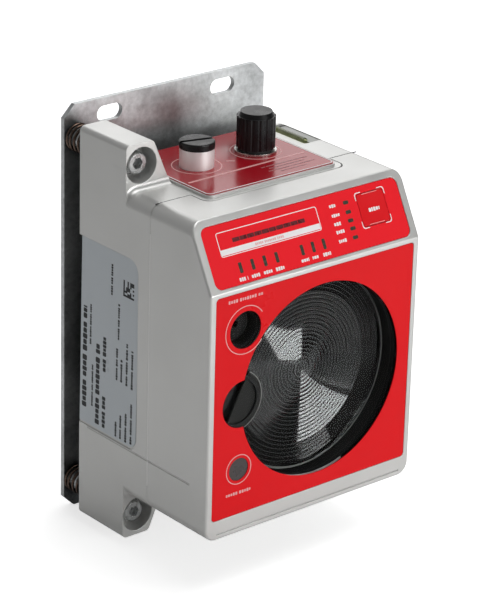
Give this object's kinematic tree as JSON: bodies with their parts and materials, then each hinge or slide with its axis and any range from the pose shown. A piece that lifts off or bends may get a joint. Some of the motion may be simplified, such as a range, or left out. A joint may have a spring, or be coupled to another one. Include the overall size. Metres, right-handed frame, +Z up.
{
  "type": "optical data transmission unit",
  "caption": "Box-shaped optical data transceiver with a large receiving lens behind a red-framed pane, sprung off a slotted wall plate and aligned by screws in its ears.",
  "frame": {"origin": "middle of the wall plate's back face, on the centre of its pattern of slots", "axes": "+X to the right as seen from the front, +Y backwards into the wall, +Z up; the lens faces -Y"},
  "size_m": [0.1, 0.0912, 0.1644],
  "materials": {
    "galvanised_sheet": "galvanised, satin",
    "insert_steel": "zinc plated, satin",
    "housing_paint": "light grey, fine satin",
    "red_print": "satin red film",
    "front_glass": "clear, polished",
    "black_moulding": "matt black",
    "clear_lens": "clear moulded",
    "dark_diode": "dark, smooth",
    "black_module": "matt black",
    "led_lens": "frosted",
    "light_guide": "frosted clear",
    "seal_rubber": "matt",
    "screw_steel": "stainless, turned",
    "spring_steel": "dark spring wire",
    "circuit_board": "solder resist",
    "component_black": "moulded",
    "label_film": "satin grey film",
    "deck_film": "glossy red film",
    "connector_steel": "nickel plated",
    "insulator_black": "moulded",
    "contact_gold": "gold plated",
    "cap_black": "satin black",
    "level_white": "white",
    "level_liquid": "clear yellow-green"
  },
  "bodies": {
    "plate": {"mounting_plate": "galvanised_sheet", "top_insert": "insert_steel", "pivot_insert": "insert_steel", "side_insert": "insert_steel", "top_spring": "spring_steel", "pivot_spring": "spring_steel", "side_spring": "spring_steel"},
    "pivot": {"pivot_screw": "screw_steel"},
    "housing": {"bus_lock_nut": "insert_steel", "power_lock_nut": "insert_steel", "rear_housing": "housing_paint", "front_hood": "housing_paint", "front_print": "red_print", "control_foil": "red_print", "front_pane": "front_glass", "optics_carrier": "black_moulding", "receiving_lens": "clear_lens", "emitter_lens": "clear_lens", "emitter_diode": "dark_diode", "receiver_diode": "dark_diode", "laser_pointer": "black_module", "status_led": "led_lens", "light_guides": "light_guide", "display_bar": "light_guide", "housing_seal": "seal_rubber", "joint_screws": "screw_steel", "carrier_screws": "screw_steel", "screw_washers": "screw_steel", "main_board": "circuit_board", "display_board": "circuit_board", "board_components": "component_black", "key_switch": "component_black", "type_label": "label_film", "connector_label": "deck_film", "bus_socket": "connector_steel", "power_post": "connector_steel", "bus_insert": "insulator_black", "power_insert": "insulator_black", "power_pins": "contact_gold", "level_cradle": "level_white", "level_vial": "level_liquid"},
    "top_adjuster": {"top_screw": "screw_steel"},
    "side_adjuster": {"side_screw": "screw_steel"},
    "key": {"mode_key": "red_print"},
    "plug_seat": {"plug_ring": "seal_rubber"},
    "plug": {"bus_plug": "cap_black"},
    "cap_seat": {"cap_seal": "seal_rubber"},
    "cap": {"power_cap": "cap_black"}
  },
  "joints": [
    {"name": "pan", "type": "hinge", "parent": "plate", "child": "pivot", "pos_m": [-0.043, -0.0055, -0.07], "axis": [0, 0, 1], "range_deg": [-2.5, 2.5], "deforming": ["side_spring"]},
    {"name": "tilt", "type": "hinge", "parent": "pivot", "child": "housing", "pos_m": [-0.043, -0.0055, -0.07], "axis": [1, 0, 0], "range_deg": [-1.5, 1.5], "deforming": ["top_spring", "pivot_spring"]},
    {"name": "top_screw_turn", "type": "hinge", "parent": "housing", "child": "top_adjuster", "pos_m": [-0.043, -0.036, 0.07], "axis": [0, -1, 0], "range_deg": [-1660, 1660]},
    {"name": "side_screw_turn", "type": "hinge", "parent": "housing", "child": "side_adjuster", "pos_m": [0.043, -0.036, -0.07], "axis": [0, -1, 0], "range_deg": [-1700, 1700]},
    {"name": "key_press", "type": "slide", "parent": "housing", "child": "key", "axis": [0, 0.8839, -0.4677], "range_m": [0, 0.0004], "stiffness_N_per_m": 2000, "springref_m": -0.0004},
    {"name": "plug_lift", "type": "slide", "parent": "housing", "child": "plug_seat", "axis": [0, 0, 1], "range_m": [0, 0.005]},
    {"name": "plug_turn", "type": "hinge", "parent": "plug_seat", "child": "plug", "pos_m": [-0.0127, -0.0362, 0.0723], "axis": [0, 0, 1], "range_deg": [0, 1805]},
    {"name": "cap_lift", "type": "slide", "parent": "housing", "child": "cap_seat", "axis": [0, 0, 1], "range_m": [0, 0.008]},
    {"name": "cap_turn", "type": "hinge", "parent": "cap_seat", "child": "cap", "pos_m": [0.0156, -0.0362, 0.072], "axis": [0, 0, 1], "range_deg": [0, 2885]}
  ],
  "couplings": [
    {"joint": "top_screw_turn", "follows": "tilt", "ratio": 1099.6},
    {"joint": "side_screw_turn", "follows": "pan", "ratio": -675.44},
    {"joint": "plug_turn", "follows": "plug_lift", "rad_per_m": 6283.2},
    {"joint": "cap_turn", "follows": "cap_lift", "rad_per_m": 6283.2}
  ]
}
